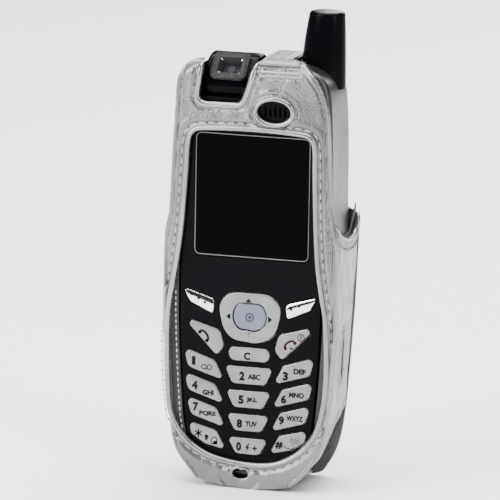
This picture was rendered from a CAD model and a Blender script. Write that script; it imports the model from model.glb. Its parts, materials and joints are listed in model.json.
import json
import math

import bmesh
import bpy
import numpy as np
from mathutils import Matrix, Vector


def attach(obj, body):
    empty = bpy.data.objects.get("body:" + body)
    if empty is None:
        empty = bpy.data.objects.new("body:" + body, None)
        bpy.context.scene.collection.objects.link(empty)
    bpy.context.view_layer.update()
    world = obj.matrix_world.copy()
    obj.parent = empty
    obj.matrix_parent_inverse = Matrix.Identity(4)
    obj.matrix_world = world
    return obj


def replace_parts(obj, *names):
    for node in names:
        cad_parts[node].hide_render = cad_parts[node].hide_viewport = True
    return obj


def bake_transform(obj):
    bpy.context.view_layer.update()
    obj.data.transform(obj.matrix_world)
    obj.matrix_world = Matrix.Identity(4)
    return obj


# A candybar phone in a fitted silver leather case. The frame holds the phone and the parts inside it.
# This script makes the leather, its seams and rolled edges, the marks on the keys and all materials.
# Lengths are millimetres in the row frame and are turned into metres where meshes are made.
# The leather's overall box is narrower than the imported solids' box: 0.9 mm on the left, 0.6 mm on the right.

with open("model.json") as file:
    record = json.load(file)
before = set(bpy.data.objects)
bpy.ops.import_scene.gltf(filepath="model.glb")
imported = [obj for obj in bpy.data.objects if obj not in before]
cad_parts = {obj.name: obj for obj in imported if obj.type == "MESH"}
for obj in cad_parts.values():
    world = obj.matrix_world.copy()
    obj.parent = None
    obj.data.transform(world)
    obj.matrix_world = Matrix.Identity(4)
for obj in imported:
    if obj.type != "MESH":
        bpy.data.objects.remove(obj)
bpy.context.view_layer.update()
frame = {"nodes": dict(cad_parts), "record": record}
nodes = frame["nodes"]

MM = 0.001
ROOT = "phone_in_case"

# ------------------------------------------------------------------ driving dimensions
FRONT_SKIN = -11.5        # outer face of the front leather
LEATHER_IN = -10.12       # its inner face
BACK_IN = 9.62
BACK_SKIN = 10.6
GUSSET_OUT = 1.95         # gusset's outer face beyond the phone's side
GUSSET_IN = 0.42
LIP = 0.78                # radius of the rolled lip round the opening
SEAM_OFFSET = 2.15        # stitch line outside the opening
STITCH_PITCH = 2.6
KEY_TOP = -10.5
FACE_Y = -10.0

# Half width of the phone's side wall by height, at its front and at its back
SIDE_Z = [2, 6.6, 11.2, 17.5, 26, 36, 46, 57, 66, 76, 88, 98, 103.5, 107.6]
SIDE_FRONT = [8, 15.9, 18.5, 19.7, 20.4, 21.0, 21.4, 21.4, 21.2, 21.0, 20.9, 20.6, 20.1, 18.8]
SIDE_BACK = [7, 14.8, 17.4, 18.7, 19.2, 19.7, 20.3, 20.9, 21.2, 21.0, 20.9, 20.5, 20.0, 18.8]

RIGHT_EDGE = [(12.4, 1.3), (14.0, 2.8), (17.0, 6.4), (19.6, 9.6), (21.1, 13.6), (21.8, 20.0), (22.4, 28.0),
              (23.0, 36.0), (23.4, 46.0), (23.4, 57.0), (23.2, 66.0), (22.2, 71.5), (21.4, 77.5),
              (20.9, 90.0), (20.2, 100.0), (18.8, 105.0), (16.4, 108.8), (12.8, 112.4)]
LEFT_EDGE = [(-14.6, 112.0), (-17.6, 111.0), (-19.6, 108.4), (-20.6, 105.0), (-20.95, 98.0), (-21.4, 89.0),
             (-21.8, 79.0), (-22.2, 71.5), (-23.2, 66.0), (-23.4, 57.0), (-23.4, 46.0), (-22.9, 36.0),
             (-22.2, 28.0), (-21.4, 20.0), (-20.5, 12.6), (-19.0, 8.2), (-16.3, 4.6), (-14.0, 1.8)]
OPENING = [(0.0, 7.0), (5.7, 7.3), (10.2, 8.8), (14.7, 12.0), (18.0, 16.9), (19.7, 23.5), (20.3, 31.0),
           (20.2, 38.5), (19.7, 47.0), (18.5, 53.6), (17.5, 60.5), (16.8, 70.5), (16.3, 84.0),
           (16.15, 90.2), (15.3, 92.7), (12.3, 93.5), (0.0, 93.9), (-12.3, 93.5), (-15.6, 92.6),
           (-16.5, 90.0), (-16.8, 84.0), (-17.7, 70.5), (-18.9, 60.0), (-20.1, 52.8), (-21.1, 46.0),
           (-21.3, 38.0), (-21.0, 27.5), (-19.9, 18.6), (-16.4, 12.8), (-11.5, 9.3), (-6.6, 7.8)]
NOTCH_U = [(-12.9, 114.0), (-13.35, 111.2), (-13.9, 107.0), (-14.4, 103.2), (-14.0, 101.7), (-12.8, 101.1),
           (-8.5, 101.1), (-4.6, 101.2), (-3.2, 101.8), (-2.3, 103.8), (-1.2, 107.2),
           (-0.2, 111.0), (0.5, 114.0)]
EAR_HOLE = (5.8, 99.5, 4.35, 2.75)
SOUND_HOLE = (-1.5, 3.8, 2.2, 1.35)
RIB_HEIGHTS = [108.3, 109.25, 110.2, 111.1]


# ------------------------------------------------------------------ curves and distances
def catmull(points, closed, per=8):
    p = np.array(points, float)
    n = len(p)
    spans = n if closed else n - 1
    t = np.linspace(0, 1, per, endpoint=False)[:, None]
    out = []
    for i in range(spans):
        if closed:
            a, b, c, d = p[i - 1], p[i], p[(i + 1) % n], p[(i + 2) % n]
        else:
            b, c = p[i], p[i + 1]
            a = p[i - 1] if i else 2 * b - c
            d = p[i + 2] if i + 2 < n else 2 * c - b
        out.append(0.5 * (2 * b + (c - a) * t + (2 * a - 5 * b + 4 * c - d) * t ** 2
                          + (3 * b - a - 3 * c + d) * t ** 3))
    if not closed:
        out.append(p[-1:])
    return np.concatenate(out)


def resample(line, step, closed):
    p = np.vstack([line, line[:1]]) if closed else line
    s = np.concatenate([[0], np.cumsum(np.linalg.norm(np.diff(p, axis=0), axis=1))])
    n = max(3, int(round(s[-1] / step)))
    at = np.linspace(0, s[-1], n, endpoint=not closed)
    return np.stack([np.interp(at, s, p[:, k]) for k in range(p.shape[1])], 1)


def ellipse(cx, cz, rx, rz, n=72):
    a = np.linspace(0, 2 * np.pi, n, endpoint=False)
    return np.stack([cx + rx * np.cos(a), cz + rz * np.sin(a)], 1)


def distance(p, line):
    """Shortest distance from each point to a polyline."""
    best = np.full(len(p), 1e9)
    for a, b in zip(line[:-1], line[1:]):
        d = b - a
        t = np.clip(((p - a) @ d) / max(d @ d, 1e-12), 0, 1)
        q = p - a - t[:, None] * d
        best = np.minimum(best, (q * q).sum(1))
    return np.sqrt(best)


def inside_loop(p, loop):
    odd = np.zeros(len(p), bool)
    for (ax, az), (bx, bz) in zip(loop, np.roll(loop, -1, 0)):
        if az == bz:
            continue
        hit = ((p[:, 1] < az) != (p[:, 1] < bz)) & (p[:, 0] < (bx - ax) * (p[:, 1] - az) / (bz - az) + ax)
        odd ^= hit
    return odd


def signed(p, loop):
    """Signed distance to a closed loop, positive inside."""
    d = distance(p, np.vstack([loop, loop[:1]]))
    return np.where(inside_loop(p, loop), d, -d)


def offset_line(line, d, closed=True):
    """A closed or open line moved sideways by d, to the right of its direction of travel."""
    if closed:
        t = np.roll(line, -1, 0) - np.roll(line, 1, 0)
    else:
        t = np.gradient(line, axis=0)
    t /= np.linalg.norm(t, axis=1)[:, None]
    return line + d * np.stack([t[:, 1], -t[:, 0]], 1)


def smooth(a, b, x):
    t = np.clip((x - a) / (b - a), 0, 1)
    return t * t * (3 - 2 * t)


def bell(x, centre, width):
    return np.exp(-((x - centre) / width) ** 2)


def at_depth(p, y):
    """Points (x, z) stood up in space at depth y, which is one value or one for each point."""
    return np.stack([p[:, 0], np.broadcast_to(y, len(p)), p[:, 1]], 1)


# ------------------------------------------------------------------ mesh building
def add_object(name, verts, faces, material, body=ROOT, sharp=40.0):
    """Verts are in millimetres. The object rides on a body unless body is None."""
    mesh = bpy.data.meshes.new(name)
    places = [tuple(v) for v in np.asarray(verts) * MM]
    mesh.from_pydata(places, [], [tuple(int(i) for i in f) for f in faces])
    bm = bmesh.new()
    bm.from_mesh(mesh)
    bmesh.ops.dissolve_degenerate(bm, dist=1e-7, edges=bm.edges[:])
    bmesh.ops.recalc_face_normals(bm, faces=bm.faces[:])
    bm.to_mesh(mesh)
    bm.free()
    mesh.shade_smooth()
    mesh.set_sharp_from_angle(angle=math.radians(sharp))
    obj = bpy.data.objects.new(name, mesh)
    bpy.context.scene.collection.objects.link(obj)
    mesh.materials.append(material)
    if body:
        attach(obj, body)
    return obj


def clipped_sheet(name, u_range, v_range, step, inside, outer, inner, material, body=ROOT, sharp=55.0):
    """A sheet of leather over the part of the (u, v) plane where inside() is positive, with clean edges.
    outer() and inner() place its two faces in space."""
    u = np.arange(u_range[0], u_range[1] + step, step)
    v = np.arange(v_range[0], v_range[1] + step, step)
    grid = np.stack(np.meshgrid(u, v, indexing="ij"), -1).reshape(-1, 2)
    f = inside(grid)
    near = np.abs(f) < 0.6 * step
    e = 0.05 * step
    g = np.stack([inside(grid[near] + [e, 0]) - inside(grid[near] - [e, 0]),
                  inside(grid[near] + [0, e]) - inside(grid[near] - [0, e])], 1) / (2 * e)
    g /= np.maximum((g * g).sum(1), 0.2)[:, None]
    grid[near] -= f[near][:, None] * g
    keep = f > -0.6 * step
    nv = len(v)
    i, j = np.meshgrid(np.arange(len(u) - 1), np.arange(nv - 1), indexing="ij")
    a = (i * nv + j).ravel()
    quads = np.stack([a, a + nv, a + nv + 1, a + 1], 1)
    quads = quads[keep[quads].all(1)]
    middle = grid[quads].mean(1)
    quads = quads[inside(middle) > 0.02 * step]
    used, flat = np.unique(quads, return_inverse=True)
    quads = flat.reshape(-1, 4)
    points = grid[used]
    n = len(points)
    edges = np.concatenate([quads[:, [k, (k + 1) % 4]] for k in range(4)])
    _, index, count = np.unique(np.sort(edges, 1), axis=0, return_index=True, return_counts=True)
    rim = edges[index[count == 1]]
    sides = np.stack([rim[:, 1], rim[:, 0], rim[:, 0] + n, rim[:, 1] + n], 1)
    verts = np.vstack([outer(points), inner(points)])
    faces = np.vstack([quads, quads[:, ::-1] + n, sides])
    return add_object(name, verts, faces, material, body, sharp)


def tube(name, path, normal, across, up, closed, material, body=ROOT, segments=14):
    """A rolled edge: an ellipse swept along a path. across and up are its half sizes."""
    path = np.asarray(path, float)
    n = len(path)
    t = (np.roll(path, -1, 0) - np.roll(path, 1, 0)) if closed else np.gradient(path, axis=0)
    t /= np.linalg.norm(t, axis=1)[:, None]
    normal = np.broadcast_to(np.asarray(normal, float), path.shape).copy()
    side = np.cross(t, normal)
    side /= np.linalg.norm(side, axis=1)[:, None]
    top = np.cross(side, t)
    scale = np.ones(n)
    if not closed:
        ends = min(6, n // 4)
        for k in range(ends):
            r = math.sqrt(max(1 - (1 - k / ends) ** 2, 0.01))
            scale[k] = scale[n - 1 - k] = r
    angle = np.linspace(0, 2 * np.pi, segments, endpoint=False)
    wide = np.cos(angle)[None, :, None] * side[:, None, :] * across
    high = np.sin(angle)[None, :, None] * top[:, None, :] * up
    rings = path[:, None, :] + scale[:, None, None] * (wide + high)
    verts = rings.reshape(-1, 3)
    faces = []
    for r in range(n if closed else n - 1):
        a, b = r * segments, ((r + 1) % n) * segments
        for k in range(segments):
            k2 = (k + 1) % segments
            faces.append((a + k, a + k2, b + k2, b + k))
    if not closed:
        faces.append(tuple(range(segments)))
        faces.append(tuple((n - 1) * segments + k for k in reversed(range(segments))))
    return add_object(name, verts, faces, material, body, 60.0)


def beads(name, centres, tangents, normals, length, radius, lift, material, body=ROOT):
    """Many small rounded grains, such as stitches: ellipsoids laid along their tangents."""
    rows, cols = 5, 8
    la = np.linspace(0, np.pi, rows)
    lo = np.linspace(0, 2 * np.pi, cols, endpoint=False)
    unit = np.array([(-math.cos(a), math.sin(a) * math.cos(b), math.sin(a) * math.sin(b))
                     for a in la for b in lo])
    quads = [(r * cols + c, r * cols + (c + 1) % cols, (r + 1) * cols + (c + 1) % cols, (r + 1) * cols + c)
             for r in range(rows - 1) for c in range(cols)]
    verts, faces = [], []
    for k, (p, t, m) in enumerate(zip(centres, tangents, normals)):
        t = t / np.linalg.norm(t)
        s = np.cross(t, m)
        s /= np.linalg.norm(s)
        m = np.cross(s, t)
        verts.append(p + m * lift + unit[:, :1] * t * length / 2 + unit[:, 1:2] * s * radius
                     + unit[:, 2:] * m * radius)
        faces += [tuple(i + k * rows * cols for i in q) for q in quads]
    return add_object(name, np.vstack(verts), faces, material, body, 80.0)


def stitch_line(name, path, normals, pitch, body=ROOT, hole=0.36, thread_lift=0.05):
    """Thread and needle holes along a path."""
    s = np.concatenate([[0], np.cumsum(np.linalg.norm(np.diff(path, axis=0), axis=1))])
    count = int(s[-1] / pitch)
    at = np.arange(count) * s[-1] / count
    def sample(values, where):
        return np.stack([np.interp(where, s, values[:, k]) for k in range(3)], 1)
    tangents = np.gradient(path, axis=0)
    middle = at + 0.5 * s[-1] / count
    beads(name + "_thread", sample(path, middle), sample(tangents, middle), sample(normals, middle),
          pitch * 0.72, 0.17, thread_lift, thread_grey, body)
    beads(name + "_holes", sample(path, at), sample(tangents, at), sample(normals, at),
          hole * 2, hole * 0.62, -0.02, hole_dark, body)


# ------------------------------------------------------------------ procedural materials
def surface(name, dark, light, rough, rough_more, metal=0.0, patch=60.0, bumps=(), coat=0.0, coat_rough=0.1,
            clear=0.0, spec=0.5, speckle=None, sheen=0.0):
    """A Principled material. Colour drifts between dark and light over patches (patch is cycles a metre),
    and roughness between rough and rough_more. bumps is a list of (kind, cycles a metre, height in
    metres)."""
    mat = bpy.data.materials.new(name)
    mat.use_nodes = True
    tree = mat.node_tree
    nodes_, links = tree.nodes, tree.links
    nodes_.clear()
    out = nodes_.new("ShaderNodeOutputMaterial")
    bsdf = nodes_.new("ShaderNodeBsdfPrincipled")
    links.new(bsdf.outputs[0], out.inputs[0])
    coord = nodes_.new("ShaderNodeTexCoord")

    def noise(scale, detail, roughness=0.55):
        n = nodes_.new("ShaderNodeTexNoise")
        n.inputs["Scale"].default_value = scale
        n.inputs["Detail"].default_value = detail
        n.inputs["Roughness"].default_value = roughness
        links.new(coord.outputs["Object"], n.inputs["Vector"])
        return n.outputs["Fac"]

    drift = noise(patch, 3.0)
    if speckle:
        fine = noise(speckle, 2.0, 0.7)
        mix = nodes_.new("ShaderNodeMath")
        mix.operation = "MULTIPLY_ADD"
        links.new(fine, mix.inputs[0])
        mix.inputs[1].default_value = 0.6
        half = nodes_.new("ShaderNodeMath")
        half.operation = "MULTIPLY"
        links.new(drift, half.inputs[0])
        half.inputs[1].default_value = 0.4
        links.new(half.outputs[0], mix.inputs[2])
        drift = mix.outputs[0]
    ramp = nodes_.new("ShaderNodeValToRGB")
    ramp.color_ramp.elements[0].position = 0.32
    ramp.color_ramp.elements[1].position = 0.68
    ramp.color_ramp.elements[0].color = (*dark, 1)
    ramp.color_ramp.elements[1].color = (*light, 1)
    links.new(drift, ramp.inputs["Fac"])
    links.new(ramp.outputs["Color"], bsdf.inputs["Base Color"])
    span = nodes_.new("ShaderNodeMapRange")
    span.inputs["From Min"].default_value = 0.3
    span.inputs["From Max"].default_value = 0.7
    span.inputs["To Min"].default_value = rough
    span.inputs["To Max"].default_value = rough_more
    links.new(noise(patch * 2.3, 4.0), span.inputs["Value"])
    links.new(span.outputs["Result"], bsdf.inputs["Roughness"])
    bsdf.inputs["Metallic"].default_value = metal
    bsdf.inputs["Coat Weight"].default_value = coat
    bsdf.inputs["Coat Roughness"].default_value = coat_rough
    bsdf.inputs["Transmission Weight"].default_value = clear
    bsdf.inputs["Specular IOR Level"].default_value = spec
    bsdf.inputs["Sheen Weight"].default_value = sheen
    last = None
    for kind, scale, height in bumps:
        if kind == "pebble":
            v = nodes_.new("ShaderNodeTexVoronoi")
            v.feature = "SMOOTH_F1"
            v.inputs["Scale"].default_value = scale
            v.inputs["Smoothness"].default_value = 0.6
            links.new(coord.outputs["Object"], v.inputs["Vector"])
            field = v.outputs["Distance"]
            sign = -1.0
        elif kind == "weave":
            w = nodes_.new("ShaderNodeTexWave")
            w.wave_type = "BANDS"
            w.bands_direction = "DIAGONAL"
            w.inputs["Scale"].default_value = scale
            w.inputs["Distortion"].default_value = 1.5
            links.new(coord.outputs["Object"], w.inputs["Vector"])
            field = w.outputs["Fac"]
            sign = 1.0
        else:
            field = noise(scale, 4.0)
            sign = 1.0
        bump = nodes_.new("ShaderNodeBump")
        bump.inputs["Strength"].default_value = 1.0
        bump.inputs["Distance"].default_value = sign * height
        links.new(field, bump.inputs["Height"])
        if last:
            links.new(last, bump.inputs["Normal"])
        last = bump.outputs["Normal"]
    if last:
        links.new(last, bsdf.inputs["Normal"])
    return mat


def grey(v, blue=1.0):
    return (v, v, v * blue)


leather = surface("silver_leather", grey(0.12), grey(0.21), 0.27, 0.40, metal=0.85, patch=45,
                  bumps=[("pebble", 1700, 0.00009), ("noise", 300, 0.00004)], coat=0.1, coat_rough=0.3)
leather_smooth = surface("silver_leather_edge", grey(0.18), grey(0.31), 0.18, 0.28, metal=0.85, patch=60,
                         bumps=[("noise", 900, 0.00003)], coat=0.25, coat_rough=0.2)
lining = surface("black_lining", grey(0.010), grey(0.028), 0.65, 0.85, patch=120,
                 bumps=[("weave", 700, 0.00006)], sheen=0.2)
thread_grey = surface("thread", grey(0.42), grey(0.62), 0.5, 0.7, patch=900,
                      bumps=[("weave", 3000, 0.00003)])
hole_dark = surface("needle_hole", grey(0.03), grey(0.08), 0.7, 0.9, patch=400)
gloss_black = surface("gloss_black", (0.0014, 0.0015, 0.002), (0.0024, 0.0025, 0.0034), 0.08, 0.14, patch=40,
                      spec=0.035)
black_textured = surface("bezel_black", grey(0.006), grey(0.05), 0.35, 0.55, patch=300, speckle=2600,
                         bumps=[("pebble", 2100, 0.00006)], spec=0.05)
window = surface("window", (0.0007, 0.0008, 0.0008), (0.0012, 0.0013, 0.0012), 0.05, 0.09, patch=30,
                 spec=0.012)
lens_glass = surface("lens_glass", (0.004, 0.004, 0.010), (0.02, 0.016, 0.035), 0.05, 0.10, patch=300,
                     spec=0.1)
housing = surface("silver_housing", grey(0.040), grey(0.060), 0.30, 0.42, metal=0.8, patch=40, speckle=3500,
                  bumps=[("noise", 2500, 0.00001)], coat=0.1)
keys_silver = surface("silver_keys", grey(0.13, 1.01), grey(0.25, 1.01), 0.24, 0.36, metal=0.7, patch=160,
                      speckle=3800, bumps=[("noise", 1800, 0.00001)], coat=0.2)
centre_tint = surface("centre_key_tint", (0.09, 0.10, 0.14), (0.14, 0.15, 0.20), 0.24, 0.36, metal=0.5,
                      patch=160, speckle=3800, coat=0.25)
mirror = surface("mirror_plate", grey(0.80), grey(0.92), 0.05, 0.12, metal=1.0, patch=160)
snap = surface("snap_metal", grey(0.72), grey(0.85), 0.12, 0.25, metal=1.0, patch=300)
silicone = surface("silicone", (0.66, 0.68, 0.66), (0.78, 0.79, 0.77), 0.4, 0.55, patch=80, clear=0.15)
steel = surface("spring_steel", grey(0.62), grey(0.74), 0.22, 0.36, metal=1.0, patch=200,
                bumps=[("noise", 3000, 0.00001)])
board = surface("board_green", (0.008, 0.07, 0.03), (0.015, 0.12, 0.05), 0.35, 0.5, patch=260)
module = surface("module_grey", grey(0.12), grey(0.19), 0.4, 0.6, patch=150)
tungsten = surface("tungsten", grey(0.26), grey(0.34), 0.3, 0.45, metal=1.0, patch=300)
brass = surface("brass", (0.62, 0.44, 0.16), (0.76, 0.56, 0.24), 0.2, 0.35, metal=1.0, patch=300)
ink = surface("key_print", grey(0.003), grey(0.008), 0.5, 0.65, patch=600, spec=0.05)
ink_red = surface("key_print_red", (0.03, 0.004, 0.006), (0.05, 0.008, 0.011), 0.45, 0.6, patch=600,
                  spec=0.05)
ink_blue = surface("key_print_blue", (0.012, 0.014, 0.035), (0.03, 0.035, 0.06), 0.45, 0.6, patch=600,
                   spec=0.05)
ink_soft = surface("key_print_grey", grey(0.03), grey(0.06), 0.45, 0.6, patch=600, spec=0.05)
frame_line = surface("screen_line", grey(0.06), grey(0.16), 0.3, 0.4, metal=0.3, patch=60)

BY_SLOT = {"silver_leather": leather, "leather_binding": leather_smooth, "black_lining": lining,
           "snap_metal": snap, "gloss_black": gloss_black, "window": window, "lens_glass": lens_glass,
           "silver_housing": housing, "silver_keys": keys_silver, "centre_tint": centre_tint,
           "mirror_keys": mirror, "silicone": silicone, "spring_steel": steel, "board_green": board,
           "module_grey": module, "tungsten": tungsten, "brass": brass}

for part in frame["record"]["subparts"]:
    obj = nodes[part["node"]]
    obj.data.materials.clear()
    obj.data.materials.append(BY_SLOT[part["material_slot"]])
nodes["camera_bezel"].data.materials[0] = black_textured
nodes["earpiece_speaker"].data.materials[0] = lining

# ------------------------------------------------------------------ outlines of the case
opening = resample(catmull(OPENING, True), 0.6, True)
right_edge = resample(catmull(RIGHT_EDGE, False), 0.7, False)
left_edge = resample(catmull(LEFT_EDGE, False), 0.7, False)
bottom_x = np.linspace(-14.0, 12.4, 40)[1:-1]
bottom_z = np.where(bottom_x < 0, 1.8 * (bottom_x / 14.0) ** 2, 1.3 * (bottom_x / 12.4) ** 2)
bottom_arc = np.stack([bottom_x, bottom_z], 1)
outer_loop = np.vstack([right_edge, left_edge, bottom_arc])
notch_line = resample(catmull(NOTCH_U, False), 0.5, False)
ear_loop = ellipse(*EAR_HOLE)
sound_loop = ellipse(*SOUND_HOLE, n=48)
open_cut = offset_line(opening, 0.95)
notch_cut = offset_line(notch_line, 0.85, False)
ear_cut = ellipse(EAR_HOLE[0], EAR_HOLE[1], EAR_HOLE[2] + 0.85, EAR_HOLE[3] + 0.8)

ROLL_FROM = 107.6         # above this height the leather bends back over the top
ROLL_RADIUS = 5.0


def roll_back(z):
    over = np.clip(z - ROLL_FROM, 0, ROLL_RADIUS * 0.97)
    return ROLL_RADIUS - np.sqrt(ROLL_RADIUS ** 2 - over ** 2)


def front_skin(p):
    """Y of the front leather's outer face at (x, z)."""
    x, z = p[:, 0], p[:, 1]
    d = -signed(p, opening)
    e = distance(p, np.vstack([right_edge, left_edge]))
    n = distance(p, notch_line)
    r = -signed(p, ear_loop)
    h = -signed(p, sound_loop)
    y = np.full(len(p), FRONT_SKIN)
    y += 0.42 * bell(d, SEAM_OFFSET, 0.42)                       # sewn seam round the opening
    y -= 0.16 * bell(d, SEAM_OFFSET + 1.3, 0.8)
    y += 0.40 * bell(e, 1.15, 0.26)                              # seam of the edge piping
    y += 0.9 - np.sqrt(np.clip(0.81 - np.clip(0.9 - e, 0, 0.9) ** 2, 0, 1))
    y += 0.34 * bell(n, 1.75, 0.28) - 0.10 * bell(n, 2.6, 0.5)
    y += 0.34 * bell(r, 1.75, 0.28) - 0.14 * bell(r, 2.5, 0.45)
    y += 0.25 * bell(h, 3.0, 0.45) - 0.18 * bell(h, 1.2, 0.9)    # moulded ring round the sound hole
    rib_zone = smooth(0.3, 1.3, x) * smooth(13.2, 12.0, x)
    for rib in RIB_HEIGHTS:
        y += 0.36 * bell(z, rib, 0.26) * rib_zone
        y -= 0.12 * bell(z, rib + 0.5, 0.26) * rib_zone
    y += 0.07 * np.sin(0.55 * x + 0.21 * z) * np.sin(0.17 * z + 0.4 * x) + 0.04 * np.sin(1.3 * x - 0.9 * z)
    return np.maximum(y, -12.0) + roll_back(z)


def panel_inside(p):
    f = signed(p, outer_loop)
    for loop in (open_cut, notch_cut, ear_cut, sound_loop):
        f = np.minimum(f, -signed(p, loop))
    return f


def on_front(p, lift=0.0):
    return at_depth(p, front_skin(p) - lift)


def behind_front(p):
    y = np.maximum(front_skin(p) + 1.0, LEATHER_IN + roll_back(p[:, 1]))
    return np.stack([p[:, 0], y, np.minimum(p[:, 1], 111.7)], 1)


front = clipped_sheet("front_leather", (-23.6, 23.6), (0.0, 112.6), 0.32, panel_inside, on_front,
                      behind_front, leather)
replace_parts(front, "case_front_panel")

# ------------------------------------------------------------------ rolled edges
FORWARD = (0.0, -1.0, 0.0)


def rim_path(line, y):
    return at_depth(line, y + roll_back(line[:, 1]))


lip = tube("opening_binding", rim_path(offset_line(opening, LIP), -11.08), FORWARD, LIP, 0.95, True,
           leather_smooth, segments=16)
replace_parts(lip, "case_opening_binding")

ear_rim = ellipse(EAR_HOLE[0], EAR_HOLE[1], EAR_HOLE[2] + 0.7, EAR_HOLE[3] + 0.68)
ear_ring = tube("earpiece_rim", rim_path(ear_rim, -11.1), FORWARD, 0.72, 0.93, True, leather_smooth)
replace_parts(ear_ring, "case_top_bindings")
notch_rim_line = offset_line(notch_line, 0.65, False)
notch_rim_line = notch_rim_line[notch_rim_line[:, 1] < 112.0]
tube("camera_notch_rim", rim_path(notch_rim_line, -11.1), FORWARD, 0.85, 0.93, False, leather_smooth)
sound_rim = ellipse(SOUND_HOLE[0], SOUND_HOLE[1], SOUND_HOLE[2] + 0.35, SOUND_HOLE[3] + 0.35, 48)
tube("sound_hole_rim", rim_path(sound_rim, -11.3), FORWARD, 0.4, 0.45, True, leather_smooth)

for side, edge in (("right", right_edge), ("left", left_edge)):
    tube(side + "_edge_piping", rim_path(offset_line(edge, -0.45, False), -10.75), FORWARD, 0.5, 0.55, False,
         leather_smooth)

# ------------------------------------------------------------------ side gussets
SCOOP = [(-10.3, 71.9), (-8.6, 69.2), (-6.5, 67.6), (-3.5, 66.4), (0.5, 65.5), (4.0, 65.3), (6.6, 65.8),
         (8.1, 67.2), (8.8, 69.5), (9.7, 71.2)]
HEM = [(9.7, 20.4), (4.0, 18.8), (-2.5, 16.7), (-6.5, 14.0), (-10.4, 10.7)]
SLOT = (-0.6, 34.8, 1.35, 6.3)
scoop_line = resample(catmull(SCOOP, False), 0.5, False)
hem_line = resample(catmull(HEM, False), 0.5, False)
gusset_loop = np.vstack([scoop_line, hem_line])
slot_loop = ellipse(*SLOT, n=60)


def phone_side(y, z):
    t = np.clip((y + 9.5) / 19.0, 0, 1)
    return (1 - t) * np.interp(z, SIDE_Z, SIDE_FRONT) + t * np.interp(z, SIDE_Z, SIDE_BACK)


def gusset_skin(p, slotted):
    """Distance of the gusset's outer face from the middle plane at (y, z)."""
    y, z = p[:, 0], p[:, 1]
    x = phone_side(y, z) + GUSSET_OUT - 0.15
    x += 0.22 * np.sin(np.pi * np.clip((y + 10.3) / 20.0, 0, 1)) ** 0.8
    s = distance(p, scoop_line)
    h = distance(p, hem_line)
    x -= 0.30 * bell(s, 2.2, 0.28)
    x += 0.14 * bell(s, 2.9, 0.4) + 0.10 * bell(s, 1.4, 0.5)
    x -= 0.26 * bell(h, 1.8, 0.28)
    x += 0.7 * smooth(62.0, 70.0, z) * smooth(5.0, 9.0, y)       # the rear top corner stands off the phone
    x -= 0.8 * smooth(8.4, 10.2, np.abs(y)) ** 2                  # turns in to meet front and back
    x += 0.05 * np.sin(0.9 * y + 0.33 * z) + 0.04 * np.sin(0.5 * z - 1.1 * y)
    if slotted:
        k = -signed(p, slot_loop)
        front_of = smooth(0.0, -1.2, y - SLOT[0])
        x += 0.42 * bell(k, 0.9, 0.8) * (1 - front_of) * smooth(44, 38, z)
        x -= 0.18 * bell(k, 2.3, 0.4)
    return x


def make_gusset(side, name):
    slotted = side > 0

    def inside(p):
        f = signed(p, gusset_loop)
        return np.minimum(f, -signed(p, slot_loop)) if slotted else f

    def outer(p):
        return np.stack([side * gusset_skin(p, slotted), p[:, 0], p[:, 1]], 1)

    def inner(p):
        x = np.maximum(gusset_skin(p, slotted) - 1.3, phone_side(p[:, 0], p[:, 1]) + GUSSET_IN)
        return np.stack([side * x, p[:, 0], p[:, 1]], 1)

    sheet = clipped_sheet(name + "_gusset", (-10.5, 9.9), (9.5, 72.5), 0.4, inside, outer, inner, leather)

    def lie(line, inward):
        return np.stack([side * (gusset_skin(line, slotted) - inward), line[:, 0], line[:, 1]], 1)

    tube(name + "_gusset_top_roll", lie(scoop_line, 0.62), (side, 0, 0), 0.6, 0.78, False, leather_smooth)
    tube(name + "_gusset_hem", lie(hem_line, 0.62), (side, 0, 0), 0.5, 0.7, False, leather_smooth)
    below = offset_line(scoop_line, 2.2, False)
    below = below[(below[:, 0] > -8.8) & (below[:, 0] < 8.2)]
    path = lie(resample(below, 0.5, False), 0.02)
    stitch_line(name + "_gusset_seam", path, np.tile([side, 0.0, 0.0], (len(path), 1)), 1.7, hole=0.2)
    if slotted:
        loop = ellipse(SLOT[0], SLOT[1], SLOT[2] + 0.3, SLOT[3] + 0.3, 60)
        tube(name + "_side_key_rim", lie(loop, 0.35), (side, 0, 0), 0.38, 0.5, True, leather_smooth)
    return sheet


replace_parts(make_gusset(1, "right"), "case_gusset_right")
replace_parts(make_gusset(-1, "left"), "case_gusset_left")

# ------------------------------------------------------------------ black lining
LINING_TOP = [(y, z + 0.9) for y, z in SCOOP[:-3]] + [(7.2, 68.6), (8.2, 72.0), (9.4, 73.6)]
lining_loop = np.vstack([resample(catmull(LINING_TOP, False), 0.5, False),
                         np.array([(9.4, 19.0), (4.0, 17.2), (-2.5, 15.1), (-6.5, 12.4), (-9.9, 9.3)])])


def make_lining(side, name):
    def face(p, gap):
        y, z = p[:, 0], p[:, 1]
        flare = 0.9 * smooth(66.0, 73.0, z) * smooth(5.5, 8.5, y)
        return np.stack([side * (phone_side(y, z) + gap + flare), y, z], 1)
    return clipped_sheet(name + "_lining", (-10.0, 9.5), (9.0, 74.0), 0.5, lambda p: signed(p, lining_loop),
                         lambda p: face(p, 0.40), lambda p: face(p, 0.10), lining)


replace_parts(make_lining(1, "right"), "case_lining")
make_lining(-1, "left")

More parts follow.
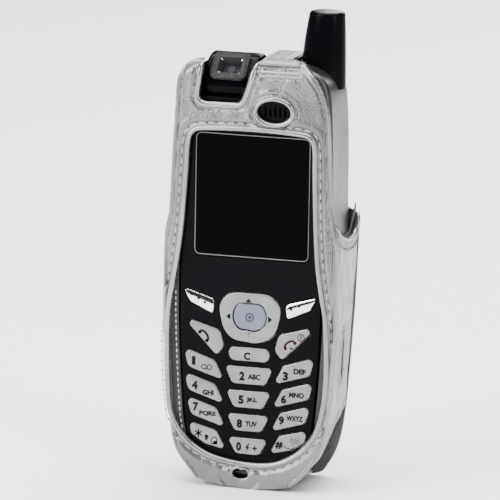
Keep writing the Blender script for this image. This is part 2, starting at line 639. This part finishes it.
# ------------------------------------------------------------------ back and bottom
BACK_OUTLINE = [(-12.5, 0.4), (0.0, 0.1), (12.5, 0.4), (16.2, 3.4), (19.0, 9.6), (20.5, 18.0), (21.3, 28.0),
                (22.4, 45.0), (22.9, 58.0), (23.1, 68.5), (22.0, 71.2),
                (18.4, 73.2), (16.0, 77.0), (15.0, 84.0),
                (14.6, 93.0), (13.2, 96.2), (0.0, 97.0), (-13.2, 96.2), (-14.6, 93.0), (-15.0, 84.0),
                (-16.0, 77.0), (-18.4, 73.2), (-22.0, 71.2), (-23.1, 68.5), (-22.9, 58.0), (-22.4, 45.0),
                (-21.3, 28.0), (-20.5, 18.0), (-19.0, 9.6), (-16.2, 3.4)]
back_loop = resample(catmull(BACK_OUTLINE, True), 0.7, True)


def back_skin(p):
    x, z = p[:, 0], p[:, 1]
    d = np.abs(signed(p, back_loop))
    y = np.full(len(p), BACK_SKIN)
    y -= 0.30 * bell(d, 2.1, 0.35)
    y += 0.10 * bell(d, 3.1, 0.6)
    y -= 0.7 - np.sqrt(np.clip(0.49 - np.clip(0.7 - d, 0, 0.7) ** 2, 0, 1))
    y += 0.06 * np.sin(0.31 * x + 0.4) * np.sin(0.12 * z) + 0.03 * np.sin(0.9 * x - 0.5 * z)
    return y


back = clipped_sheet("back_leather", (-23.4, 23.4), (0.0, 97.4), 0.45, lambda p: signed(p, back_loop),
                     lambda p: at_depth(p, back_skin(p)), lambda p: at_depth(p, BACK_IN), leather)
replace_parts(back, "case_back_panel")
rim = offset_line(back_loop, -0.55)
tube("back_edge_piping", at_depth(rim, 10.35), (0, 1, 0), 0.5, 0.55, True, leather_smooth)
back_seam = resample(offset_line(back_loop, -2.1), 0.6, True)
back_seam = np.vstack([back_seam, back_seam[:1]])
stitch_line("back_seam", at_depth(back_seam, back_skin(back_seam)),
            np.tile([0.0, 1.0, 0.0], (len(back_seam), 1)), STITCH_PITCH)

PORT = [(-7.6, -1.2), (-6.6, -3.0), (0.0, -3.2), (6.6, -3.0), (7.6, -1.2), (7.6, 0.8), (6.6, 2.6),
        (0.0, 2.8), (-6.6, 2.6), (-7.6, 0.8)]
port_loop = resample(catmull(PORT, True), 0.5, True)
floor_loop = np.array([(-13.6, -10.3), (12.4, -10.3), (12.4, 9.9), (-12.6, 9.9)])


def sole(p):
    """Z of the bottom leather's outer face: it lifts a little towards its sides."""
    x = p[:, 0]
    z = np.where(x < 0, 1.55 * (x / 14.0) ** 2, 1.1 * (x / 12.4) ** 2)
    d = np.abs(signed(p, port_loop))
    return np.clip(z + 0.05 + 0.22 * bell(d, 1.9, 0.35), 0.0, 2.0)


bottom = clipped_sheet("bottom_leather", (-13.8, 12.8), (-10.6, 10.2), 0.4,
                       lambda p: np.minimum(signed(p, floor_loop), -signed(p, port_loop)),
                       lambda p: np.stack([p[:, 0], p[:, 1], sole(p)], 1),
                       lambda p: np.stack([p[:, 0], p[:, 1], sole(p) + 1.3], 1), leather)
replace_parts(bottom, "case_bottom_panel")
port_rim = offset_line(port_loop, 0.5)
port_path = np.stack([port_rim[:, 0], port_rim[:, 1], np.full(len(port_rim), 0.62)], 1)
tube("port_rim", port_path, (0, 0, -1), 0.5, 0.6, True, leather_smooth)

# ------------------------------------------------------------------ seams on the front
seam = resample(offset_line(opening, SEAM_OFFSET), 0.5, True)
seam = np.vstack([seam, seam[:1]])
stitch_line("front_seam", on_front(seam), np.tile([0.0, -1.0, 0.0], (len(seam), 1)), STITCH_PITCH)

# ------------------------------------------------------------------ top strap
STRAP_X = (1.2, 8.6)
STRAP_PATH = [(-9.6, 111.3), (-8.9, 111.75), (-7.8, 112.1), (-5.5, 112.3), (0.0, 112.4), (6.0, 112.35),
              (9.0, 111.9),
              (10.7, 110.6), (11.25, 108.4), (11.35, 104.0), (11.35, 98.0), (11.35, 92.0), (11.35, 89.4)]
strap_path = resample(catmull(STRAP_PATH, False), 0.35, False)
strap_s = np.concatenate([[0], np.cumsum(np.linalg.norm(np.diff(strap_path, axis=0), axis=1))])
strap_t = np.gradient(strap_path, axis=0)
strap_t /= np.linalg.norm(strap_t, axis=1)[:, None]
STRAP_LENGTH = strap_s[-1]
strap_mid = 0.5 * (STRAP_X[0] + STRAP_X[1])
strap_loop = np.array([(STRAP_X[0], 0.0), (12.0, 0.0), (12.0, 2.2), (10.6, 3.6), (STRAP_X[1], 4.6)]
                      + [(strap_mid + 3.7 * math.cos(a), STRAP_LENGTH - 3.7 + 3.7 * math.sin(a))
                         for a in np.linspace(0, math.pi, 25)])


def strap_face(p, lift):
    """A point on the strap: p is (x, distance along the strap), lift is outward from its middle."""
    y, z = (np.interp(p[:, 1], strap_s, strap_path[:, k]) for k in (0, 1))
    ty, tz = (np.interp(p[:, 1], strap_s, strap_t[:, k]) for k in (0, 1))
    return np.stack([p[:, 0], y - tz * lift, z + ty * lift], 1)


def strap_out(p):
    d = np.abs(signed(p, strap_loop))
    edge = 1 - np.clip(d, 0, 0.5) / 0.5
    lift = 0.42 - 0.16 * bell(d, 1.0, 0.2) - 0.3 * (1 - np.sqrt(np.clip(1 - edge ** 2, 0, 1)))
    y = strap_face(p, 0.0)[:, 1]
    crease = sum(bell(y, -7.6 + 1.0 * i, 0.16) for i in range(3))
    return strap_face(p, lift - 0.12 * crease)


strap = clipped_sheet("top_strap_leather", (0.8, 12.4), (-0.3, STRAP_LENGTH + 0.5), 0.3,
                      lambda p: signed(p, strap_loop), strap_out, lambda p: strap_face(p, -0.38), leather,
                      body=None)
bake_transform(strap)
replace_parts(strap, "case_top_strap")

# ------------------------------------------------------------------ marks printed and moulded on the phone
PRINT_OUT = 0.035
PRINT_IN = 0.03


def print_text(name, text, x, z, width, height, body, mat=ink, weight=0.018, y=KEY_TOP):
    """Lettering as a thin solid, centred at (x, z) and fitted to width and height."""
    curve = bpy.data.curves.new(name, "FONT")
    curve.body = text
    curve.offset = weight
    curve.extrude = 0.05
    curve.resolution_u = 4
    stand_in = bpy.data.objects.new(name + "_curve", curve)
    bpy.context.scene.collection.objects.link(stand_in)
    shape = bpy.data.meshes.new_from_object(stand_in.evaluated_get(bpy.context.evaluated_depsgraph_get()))
    co = np.array([v.co for v in shape.vertices])
    faces = [tuple(p.vertices) for p in shape.polygons]
    bpy.data.objects.remove(stand_in)
    lo, hi = co.min(0), co.max(0)
    verts = np.stack([x + (co[:, 0] - 0.5 * (lo[0] + hi[0])) * width / (hi[0] - lo[0]),
                      np.where(co[:, 2] > 0, y - PRINT_OUT, y + PRINT_IN),
                      z + (co[:, 1] - 0.5 * (lo[1] + hi[1])) * height / (hi[1] - lo[1])], 1)
    return add_object(name, verts, faces, mat, body, 30.0)


def print_shapes(name, shapes, body, mat=ink, y=KEY_TOP):
    """Flat marks as thin solids. Each shape is a closed outline in (x, z)."""
    verts, faces = [], []
    for outline in shapes:
        n, k = len(outline), len(verts)
        verts += [(px, y - PRINT_OUT, pz) for px, pz in outline]
        verts += [(px, y + PRINT_IN, pz) for px, pz in outline]
        faces.append(tuple(range(k, k + n)))
        faces.append(tuple(range(k + 2 * n - 1, k + n - 1, -1)))
        faces += [(k + i, k + n + i, k + n + (i + 1) % n, k + (i + 1) % n) for i in range(n)]
    return add_object(name, verts, faces, mat, body, 30.0)


def stroke(points, width):
    """Outline of a line of the given width."""
    p = np.array(points, float)
    t = np.gradient(p, axis=0)
    t /= np.linalg.norm(t, axis=1)[:, None]
    side = np.stack([-t[:, 1], t[:, 0]], 1) * width / 2
    return [tuple(q) for q in np.vstack([p + side, (p - side)[::-1]])]


def arc(cx, cz, r, a0, a1, n=14, squeeze=1.0):
    return [(cx + r * squeeze * math.cos(math.radians(a)), cz + r * math.sin(math.radians(a)))
            for a in np.linspace(a0, a1, n)]


def ring(cx, cz, r, width, squeeze=1.0):
    return [stroke(arc(cx, cz, r, a, a + 180, squeeze=squeeze), width) for a in (0, 180)]


def disc(cx, cz, r):
    return arc(cx, cz, r, 0, 345, 24)


DIGITS = {"1": (-14.93, 32.62, 0.95), "2": (-1.76, 29.56, 1.5), "3": (9.96, 30.46, 1.5),
          "4": (-14.55, 26.14, 1.55), "5": (-1.93, 23.29, 1.5), "6": (9.63, 24.32, 1.5),
          "7": (-14.21, 20.4, 1.5), "8": (-2.23, 16.92, 1.5), "9": (9.12, 18.63, 1.5),
          "0": (-2.33, 10.8, 1.4)}
LETTERS = {"2": ("ABC", 1.49, 29.56, 3.4), "3": ("DEF", 13.79, 31.92, 3.3), "4": ("GHI", -10.87, 24.41, 3.0),
           "5": ("JKL", 1.01, 23.3, 3.0), "6": ("MNO", 13.06, 25.65, 4.1), "7": ("PQRS", -10.95, 18.8, 4.5),
           "8": ("TUV", 0.96, 16.99, 3.2), "9": ("WXYZ", 12.66, 19.43, 4.5)}
for digit, (x, z, width) in DIGITS.items():
    print_text("digit_" + digit, digit, x, z, width, 2.35, "key_" + digit, weight=0.06)
for digit, (letters, x, z, width) in LETTERS.items():
    print_text("letters_" + digit, letters, x, z, width, 1.45, "key_" + digit, weight=0.055)
print_text("clear_letter", "C", -0.48, 34.91, 1.75, 2.05, "clear_key", weight=0.05)
print_text("hash_sign", "#", 8.59, 12.04, 2.05, 2.0, "key_hash", weight=0.05)

print_shapes("message_mark", ring(-12.15, 31.2, 0.62, 0.24) + ring(-10.6, 31.2, 0.62, 0.24)
             + [stroke([(-12.2, 30.62), (-11.4, 30.6), (-10.6, 30.62)], 0.24)], "key_1")
star_x, star_z = -13.34, 13.4
STAR_ARM = 1.1
star_turns = [(STAR_ARM * math.cos(a), STAR_ARM * math.sin(a)) for a in map(math.radians, (90, 30, -30))]
star_lines = [[(star_x - dx, star_z - dz), (star_x, star_z), (star_x + dx, star_z + dz)]
              for dx, dz in star_turns]
print_shapes("star_mark", [stroke(line, 0.36) for line in star_lines], "key_star")
print_shapes("shift_mark", [[(-11.13, 13.4), (-10.35, 12.55), (-10.75, 12.55), (-10.75, 11.75),
                             (-11.5, 11.75), (-11.5, 12.55), (-11.9, 12.55)]], "key_star")
lock_body = stroke([(-9.75, 11.9), (-9.75, 10.9), (-9.7, 10.86), (-8.3, 10.86), (-8.25, 10.9),
                    (-8.25, 11.9)], 0.22)
lock_bow = stroke([(-9.85, 11.85)] + arc(-9.0, 12.0, 0.72, 175, 5, 9) + [(-8.15, 11.85)], 0.22)
print_shapes("lock_mark", [lock_body, lock_bow, disc(-9.0, 11.5, 0.24)], "key_star")
print_shapes("bolt_mark", [[(0.35, 11.85), (-0.65, 10.55), (-0.1, 10.55), (-0.45, 9.55), (0.7, 10.85),
                            (0.15, 10.85), (0.6, 11.7)]], "key_0")
print_shapes("plus_mark", [stroke([(1.34, 10.6), (2.04, 10.6), (2.74, 10.6)], 0.34),
                           stroke([(2.04, 9.9), (2.04, 10.6), (2.04, 11.3)], 0.34)], "key_0")
MUTE_STROKES = [[(12.5, 14.0), (12.9, 13.6), (13.2, 14.35)], [(12.0, 12.2), (13.0, 13.2), (14.1, 14.3)],
                [(13.0, 12.6), (13.3, 12.9), (13.9, 12.7)], [(13.5, 13.5), (13.9, 13.3), (14.3, 13.5)]]
print_shapes("mute_mark", ring(12.0, 13.5, 0.5, 0.2, 0.8) + [stroke(line, 0.2) for line in MUTE_STROKES],
             "key_hash", ink_soft)
space_line = stroke([(9.9, 11.9), (10.5, 11.45), (11.3, 11.3), (12.2, 11.3), (12.6, 11.75)], 0.24)
print_shapes("space_mark", [space_line], "key_hash")

HANDSET = [(-13.45, 40.35), (-13.0, 40.75), (-12.3, 40.6), (-11.6, 40.0), (-11.2, 39.2), (-11.15, 38.5),
           (-11.45, 38.1)]
print_shapes("call_mark", [stroke(catmull(HANDSET, False, 4), 0.6), disc(-13.4, 40.3, 0.46),
                           disc(-11.5, 38.15, 0.46)], "call_key")
HANG_UP = [(9.75, 37.85), (9.7, 38.5), (10.2, 39.2), (11.0, 39.7), (11.8, 39.85), (12.4, 39.5)]
print_shapes("end_mark", [stroke(catmull(HANG_UP, False, 4), 0.58), disc(9.8, 37.75, 0.44),
                          disc(12.4, 39.35, 0.44), [(11.1, 38.35), (11.1, 37.35), (12.0, 37.85)]],
             "end_key", ink_red)
power_bar = stroke([(13.96, 40.4), (13.96, 40.9), (13.96, 41.4)], 0.3)
print_shapes("power_mark", ring(13.96, 40.9, 0.9, 0.24) + [power_bar], "end_key")
print_shapes("nav_mark_up", [[(-0.36, 50.2), (-1.2, 49.1), (0.5, 49.1)]], "nav_key")
print_shapes("nav_mark_left", [[(-6.35, 45.1), (-5.2, 45.95), (-5.2, 44.2)]], "nav_key")
print_shapes("nav_mark_right", [[(6.1, 45.0), (5.0, 45.9), (5.0, 44.1)]], "nav_key")
print_shapes("nav_mark_low", [stroke([(-0.75, 40.9), (-0.2, 40.9), (0.35, 40.9)], 0.14),
                              stroke([(-0.2, 40.0), (-0.2, 40.6), (-0.2, 41.3)], 0.14)], "nav_key", ink_soft)
print_shapes("centre_mark", ring(0.0, 45.2, 1.0, 0.3) + [disc(0.0, 45.2, 0.42)], "centre_key", ink_blue,
             KEY_TOP + 0.1)


# Black lining between the face plate's edge and the lip of the opening, with a fine pale seam on the left
PLATE_EDGE_INSET = 1.8
plate_right = [(w - PLATE_EDGE_INSET, z) for z, w in zip(SIDE_Z[2:-3], SIDE_FRONT[2:-3])]
plate_loop = np.array([(0.0, 4.2), (8.0, 4.6), (12.2, 6.6)] + plate_right + [(18.0, 106.0), (-18.0, 106.0)]
                      + [(-x, z) for x, z in reversed(plate_right)] + [(-12.2, 6.6), (-8.0, 4.6)])
lining_edge = offset_line(opening, 0.7)
clipped_sheet("rim_lining", (-22.6, 22.6), (5.5, 95.5), 0.3,
              lambda p: np.minimum(signed(p, lining_edge), -signed(p, plate_loop)),
              lambda p: at_depth(p, -9.98), lambda p: at_depth(p, -9.55), lining)
rim_z = np.linspace(14.0, 51.0, 40)
rim_x = -(np.interp(rim_z, SIDE_Z, SIDE_FRONT) - PLATE_EDGE_INSET + 0.62)
rim_seam = np.stack([rim_x, np.full(len(rim_z), -10.0), rim_z], 1)
stitch_line("rim_lining_seam", rim_seam, np.tile([0.0, -1.0, 0.0], (len(rim_z), 1)), 1.5, hole=0.12)


# Soft keys: mirror-plated caps with a rounded top and three dots
def rounded(corners, n=7):
    out = []
    count = len(corners)
    for i, (x, z, r) in enumerate(corners):
        here = np.array([x, z])
        to_a = np.array(corners[i - 1][:2]) - here
        to_b = np.array(corners[(i + 1) % count][:2]) - here
        a, b = to_a / np.linalg.norm(to_a), to_b / np.linalg.norm(to_b)
        reach = r / math.tan(0.5 * math.acos(float(np.clip(a @ b, -1, 1))))
        reach = min(reach, 0.45 * np.linalg.norm(to_a), 0.45 * np.linalg.norm(to_b))
        for t in np.linspace(0, 1, n):
            ends = (1 - t) ** 2 * (here + a * reach) + t * t * (here + b * reach)
            out.append(ends + 2 * t * (1 - t) * here)
    return np.array(out)


SOFT_CORNERS = [(18.3, 51.9, 0.9), (9.6, 49.3, 1.3), (9.9, 45.15, 0.9), (16.2, 48.1, 1.4)]
SOFT_DOTS = {-1: [(-15.87, 50.16), (-13.9, 49.22), (-12.17, 48.25)],
             1: [(11.11, 48.17), (13.26, 49.14), (15.16, 50.14)]}
for side, name in ((-1, "soft_key_left"), (1, "soft_key_right")):
    loop = rounded([(side * x, z, r) for x, z, r in SOFT_CORNERS])

    def soft_top(p, side=side, loop=loop):
        across = (side * (p[:, 0] - side * 13.5) * -0.33 + (p[:, 1] - 48.6) * 0.94) / 1.9
        edge = 1 - np.clip(np.abs(signed(p, loop)), 0, 0.3) / 0.3
        rounding = 0.3 * (1 - np.sqrt(np.clip(1 - edge ** 2, 0, 1)))
        return KEY_TOP + 0.04 + 0.34 * np.clip(across, -1.2, 1.2) ** 2 + rounding

    (x0, z0), (x1, z1) = loop.min(0) - 0.3, loop.max(0) + 0.3
    cap = clipped_sheet(name + "_cap", (x0, x1), (z0, z1), 0.16, lambda p, loop=loop: signed(p, loop),
                        lambda p: at_depth(p, soft_top(p)), lambda p: at_depth(p, -8.6), mirror,
                        body=name, sharp=30.0)
    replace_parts(cap, name)
    dots = np.array(SOFT_DOTS[side])
    beads(name + "_dots", at_depth(dots, soft_top(dots)), np.tile([1.0, 0, 0], (3, 1)),
          np.tile([0, -1.0, 0], (3, 1)), 0.84, 0.42, -0.08, ink,
          name)

# Light line round the screen, and the polished corners of the camera's window
screen = rounded([(-15.3, 60.9, 1.4), (15.3, 60.9, 1.4), (15.3, 92.8, 1.4), (-15.3, 92.8, 1.4)])
screen = resample(screen, 0.8, True)
tube("screen_line", at_depth(screen, FACE_Y + 0.02), FORWARD, 0.13, 0.1, True, frame_line,
     segments=8)

CAMERA_AXIS = (0.0, 104.6)
TILT = math.radians(42.0)


def tilted(x, y, z):
    """From the camera looking straight ahead to its resting tilt."""
    dz = z - CAMERA_AXIS[1]
    return (x, y * math.cos(TILT) + dz * math.sin(TILT),
            CAMERA_AXIS[1] - y * math.sin(TILT) + dz * math.cos(TILT))


corner_at, corner_along = [], []
for sx in (-1, 1):
    for sz in (-1, 1):
        here = np.array(tilted(-7.8 + sx * 2.75, -7.55, 104.6 + sz * 2.1))
        corner_at.append(here)
        corner_along.append(np.array(tilted(-7.8 + sx * 2.0, -6.9, 104.6 + sz * 1.5)) - here)
looking = np.array(tilted(0, -1, 104.6)) - np.array(tilted(0, 0, 104.6))
beads("camera_window_corners", corner_at, corner_along, np.tile(looking, (4, 1)), 1.1, 0.24, 0.1, mirror,
      "camera")

# Fine dots in rows on the camera's surround
dot_at = []
for i in range(15):
    for row in (-3.75, -3.3, 3.3, 3.75):
        dot_at.append(tilted(-7.8 - 4.1 + 8.2 * i / 14, -8.3, 104.6 + row))
    for column in (-4.5, -4.05, 4.05, 4.5):
        dot_at.append(tilted(-7.8 + column, -8.3, 104.6 - 2.7 + 5.4 * i / 14))
beads("camera_surround_dots", np.array(dot_at), np.tile([1.0, 0, 0], (len(dot_at), 1)),
      np.tile(looking, (len(dot_at), 1)), 0.26, 0.13, 0.0, black_textured, "camera")


# ------------------------------------------------------------------ camera, light, floor
AZIMUTH, ELEVATION, ROLL = 17.0, 11.37, 1.035        # degrees
CAMERA_DISTANCE = 1.5                                # metres, as everything from here on
LENS_MM = 415.8


def place_camera():
    azimuth, elevation, roll = (math.radians(v) for v in (AZIMUTH, ELEVATION, ROLL))
    back_way = Vector((math.sin(azimuth) * math.cos(elevation), -math.cos(azimuth) * math.cos(elevation),
                       math.sin(elevation)))
    right0 = Vector((math.cos(azimuth), math.sin(azimuth), 0.0))
    up0 = back_way.cross(right0)
    right = right0 * math.cos(roll) + up0 * math.sin(roll)
    up = up0 * math.cos(roll) - right0 * math.sin(roll)
    aim = Vector((0, 0, 0.055)) - 0.003156 * right + 0.005904 * up
    eye = aim + CAMERA_DISTANCE * back_way
    data = bpy.data.cameras.new("camera")
    data.lens = LENS_MM
    data.sensor_width = 36.0
    data.clip_start = 0.1
    data.clip_end = 50.0
    cam = bpy.data.objects.new("camera", data)
    bpy.context.scene.collection.objects.link(cam)
    m = cam.matrix_world
    for k in range(3):
        m[k][0], m[k][1], m[k][2], m[k][3] = right[k], up[k], back_way[k], eye[k]
    cam.matrix_world = m
    bpy.context.scene.camera = cam


def area_light(name, at, target, width, height, watts):
    data = bpy.data.lights.new(name, "AREA")
    data.shape = "RECTANGLE"
    data.size, data.size_y, data.energy = width, height, watts
    lamp = bpy.data.objects.new(name, data)
    lamp.location = at
    lamp.rotation_euler = (Vector(target) - Vector(at)).to_track_quat("-Z", "Y").to_euler()
    bpy.context.scene.collection.objects.link(lamp)


place_camera()
MIDDLE = (0.0, 0.0, 0.06)
# name: place, width, height, watts
LIGHTS = {"key_left": ((-0.50, -0.60, 0.42), 0.45, 0.6, 12.0),
          "fill_right": ((0.70, -0.45, 0.35), 0.25, 0.6, 4.0),
          "top": ((0.0, 0.10, 1.1), 1.2, 1.2, 40.0), "back": ((0.1, 0.9, 0.5), 0.8, 0.5, 8.0)}
for name, (at, width, height, watts) in LIGHTS.items():
    area_light(name, at, MIDDLE, width, height, watts)

FLOOR_HALF, FLOOR_Z = 6, -0.0002
floor_mesh = bpy.data.meshes.new("floor")
floor_corners = [(x * FLOOR_HALF, y * FLOOR_HALF, FLOOR_Z)
                 for x, y in ((-1, -1), (1, -1), (1, 1), (-1, 1))]
floor_mesh.from_pydata(floor_corners, [], [(0, 1, 2, 3)])
floor = bpy.data.objects.new("floor", floor_mesh)
floor_mesh.materials.append(surface("floor_paper", grey(0.90), grey(0.94), 0.8, 0.9, patch=0.8))
bpy.context.scene.collection.objects.link(floor)

world = bpy.data.worlds.new("studio")
bpy.context.scene.world = world
world.use_nodes = True
sky = world.node_tree
background = sky.nodes["Background"]
direction = sky.nodes.new("ShaderNodeTexCoord")
split = sky.nodes.new("ShaderNodeSeparateXYZ")
height_ramp = sky.nodes.new("ShaderNodeValToRGB")
height_ramp.color_ramp.elements[0].position = 0.42
height_ramp.color_ramp.elements[0].color = (0.06, 0.06, 0.062, 1)
height_ramp.color_ramp.elements[1].position = 0.85
height_ramp.color_ramp.elements[1].color = (1.0, 1.0, 1.0, 1)
sky.links.new(direction.outputs["Generated"], split.inputs[0])
sky.links.new(split.outputs["Z"], height_ramp.inputs["Fac"])
sky.links.new(height_ramp.outputs["Color"], background.inputs["Color"])
background.inputs["Strength"].default_value = 0.7
